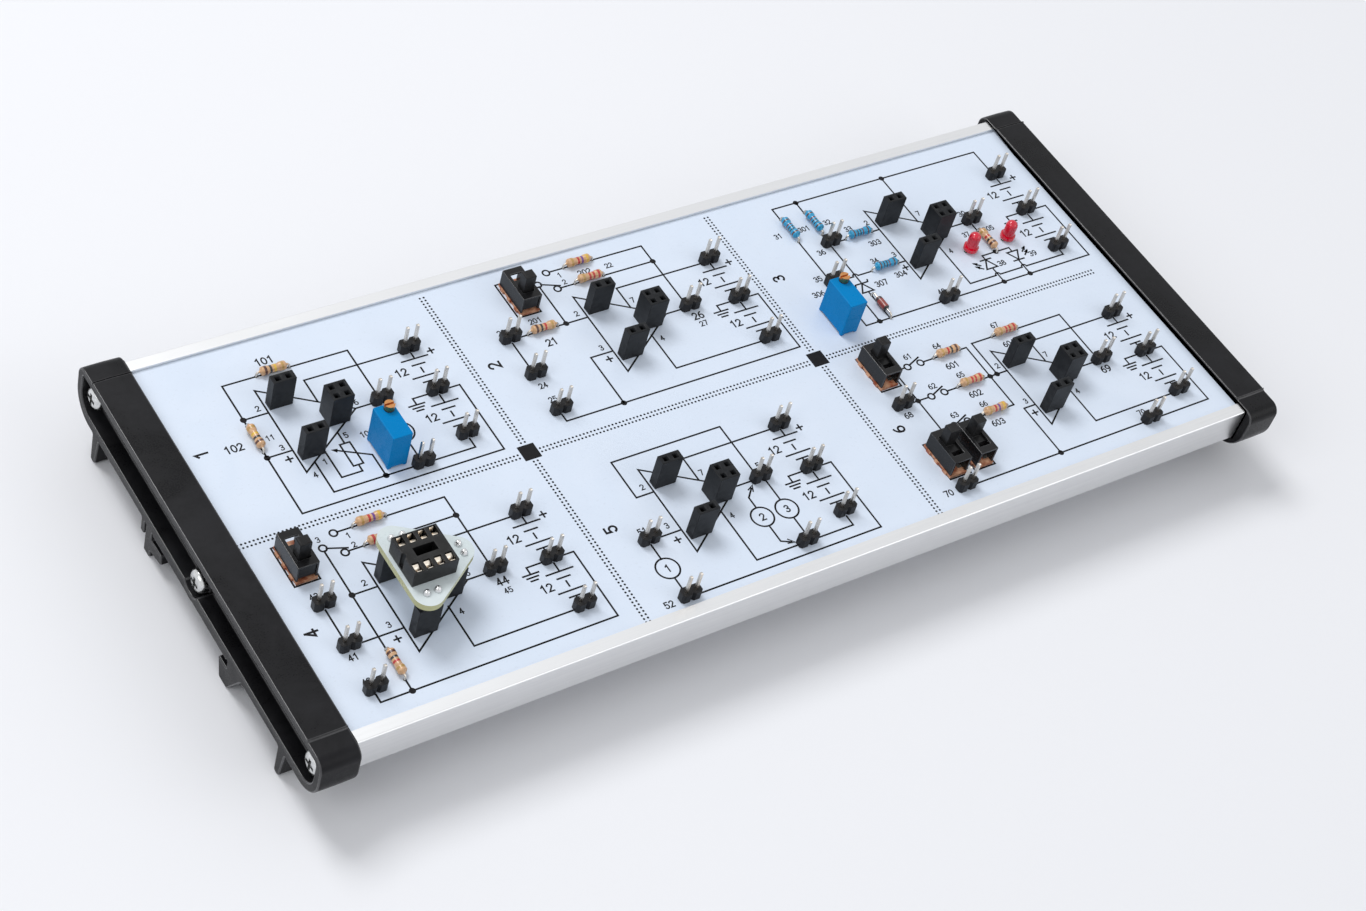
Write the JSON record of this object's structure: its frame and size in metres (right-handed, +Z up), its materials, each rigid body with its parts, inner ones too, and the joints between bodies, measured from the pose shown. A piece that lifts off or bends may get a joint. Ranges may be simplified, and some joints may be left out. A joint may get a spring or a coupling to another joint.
{
  "type": "op-amp trainer",
  "caption": "Classroom op-amp circuit trainer: a white circuit board with headers, sockets, switches and trimmers in an aluminium tray with black rail-clip end caps.",
  "frame": {"origin": "on the bench plane below the middle of the board", "axes": "+X along the tray to the right, +Y to the back, +Z up"},
  "size_m": [0.26, 0.1134, 0.0375],
  "materials": {
    "board": "gloss solder mask",
    "solder": "bright solder",
    "tray": "satin anodised",
    "cap": "moulded, slightly mottled",
    "screw": "zinc plated",
    "tin": "tin plated",
    "contact": "phosphor bronze",
    "header": "moulded",
    "strip": "moulded, cut ends",
    "carbon": "lacquered, colour bands",
    "film": "lacquered, colour bands",
    "diode": "glass with a dark band",
    "lens": "clear red moulding",
    "trimmer": "moulded",
    "potting": "cast resin",
    "ceramic": "fired",
    "seal": "smooth",
    "brass": "turned",
    "rotor": "moulded",
    "phenolic": "phenolic laminate",
    "switchcover": "moulded",
    "terminal": "silver plated",
    "knob": "moulded",
    "adapter": "bare laminate"
  },
  "bodies": {
    "root": {"circuit_board": "board", "solder_joints": "solder", "aluminium_tray": "tray", "end_cap_left": "cap", "end_cap_right": "cap", "cap_screws": "screw", "header_pins": "tin", "socket_contacts": "contact", "carbon_resistors": "carbon", "film_resistors": "film", "zener_diode": "diode", "axial_leads": "tin", "led_lenses": "lens", "led_leads": "tin", "trimmer_housings": "trimmer", "trimmer_potting": "potting", "trimmer_substrates": "ceramic", "trimmer_seals": "seal", "trimmer_leads": "tin", "switch_bases": "phenolic", "switch_covers": "switchcover", "switch_terminals": "terminal", "pin_headers_offset": "header", "socket_strips_offset": "strip", "pin_headers_inverting": "header", "socket_strips_inverting": "strip", "pin_headers_comparator": "header", "socket_strips_comparator": "strip", "pin_headers_noninverting": "header", "socket_strips_noninverting": "strip", "pin_headers_follower": "header", "socket_strips_follower": "strip", "pin_headers_adder": "header", "socket_strips_adder": "strip"},
    "adapter": {"adapter_board": "adapter", "adapter_pins": "tin", "adapter_spacers": "header", "adapter_solder": "solder", "adapter_socket": "header", "adapter_contacts": "contact"},
    "switch_knob_1": {"switch_slider_1": "knob", "switch_bridge_1": "contact"},
    "switch_knob_2": {"switch_slider_2": "knob", "switch_bridge_2": "contact"},
    "switch_knob_3": {"switch_slider_3": "knob", "switch_bridge_3": "contact"},
    "switch_knob_4": {"switch_slider_4": "knob", "switch_bridge_4": "contact"},
    "switch_knob_5": {"switch_slider_5": "knob", "switch_bridge_5": "contact"},
    "trimmer_screw_1": {"trimmer_screw_1": "brass"},
    "trimmer_rotor_1": {"trimmer_rotor_1": "rotor", "trimmer_wiper_1": "contact"},
    "trimmer_screw_2": {"trimmer_screw_2": "brass"},
    "trimmer_rotor_2": {"trimmer_rotor_2": "rotor", "trimmer_wiper_2": "contact"}
  },
  "joints": [
    {"name": "knob_1_slide", "type": "slide", "parent": "root", "child": "switch_knob_1", "axis": [0, 1, 0], "range_m": [0, 0.0032]},
    {"name": "knob_2_slide", "type": "slide", "parent": "root", "child": "switch_knob_2", "axis": [0, 1, 0], "range_m": [0, 0.0032]},
    {"name": "knob_3_slide", "type": "slide", "parent": "root", "child": "switch_knob_3", "axis": [0, -1, 0], "range_m": [0, 0.0032]},
    {"name": "knob_4_slide", "type": "slide", "parent": "root", "child": "switch_knob_4", "axis": [0, -1, 0], "range_m": [0, 0.0032]},
    {"name": "knob_5_slide", "type": "slide", "parent": "root", "child": "switch_knob_5", "axis": [0, -1, 0], "range_m": [0, 0.0032]},
    {"name": "trimmer_1_screw", "type": "hinge", "parent": "root", "child": "trimmer_screw_1", "pos_m": [-0.0785, 0.01465, 0.0304], "axis": [0, 0, 1], "continuous": true},
    {"name": "trimmer_1_rotor", "type": "hinge", "parent": "root", "child": "trimmer_rotor_1", "pos_m": [-0.0785, 0.01052, 0.0259], "axis": [1, 0, 0], "continuous": true},
    {"name": "trimmer_2_screw", "type": "hinge", "parent": "root", "child": "trimmer_screw_2", "pos_m": [0.0416, 0.01185, 0.0304], "axis": [0, 0, 1], "continuous": true},
    {"name": "trimmer_2_rotor", "type": "hinge", "parent": "root", "child": "trimmer_rotor_2", "pos_m": [0.0416, 0.00773, 0.0259], "axis": [1, 0, 0], "continuous": true},
    {"name": "adapter_lift", "type": "slide", "parent": "root", "child": "adapter", "axis": [0, 0, 1], "range_m": [0, 0.009]}
  ],
  "couplings": [
    {"joint": "trimmer_1_rotor", "follows": "trimmer_1_screw", "ratio": 0.04},
    {"joint": "trimmer_2_rotor", "follows": "trimmer_2_screw", "ratio": 0.04}
  ]
}
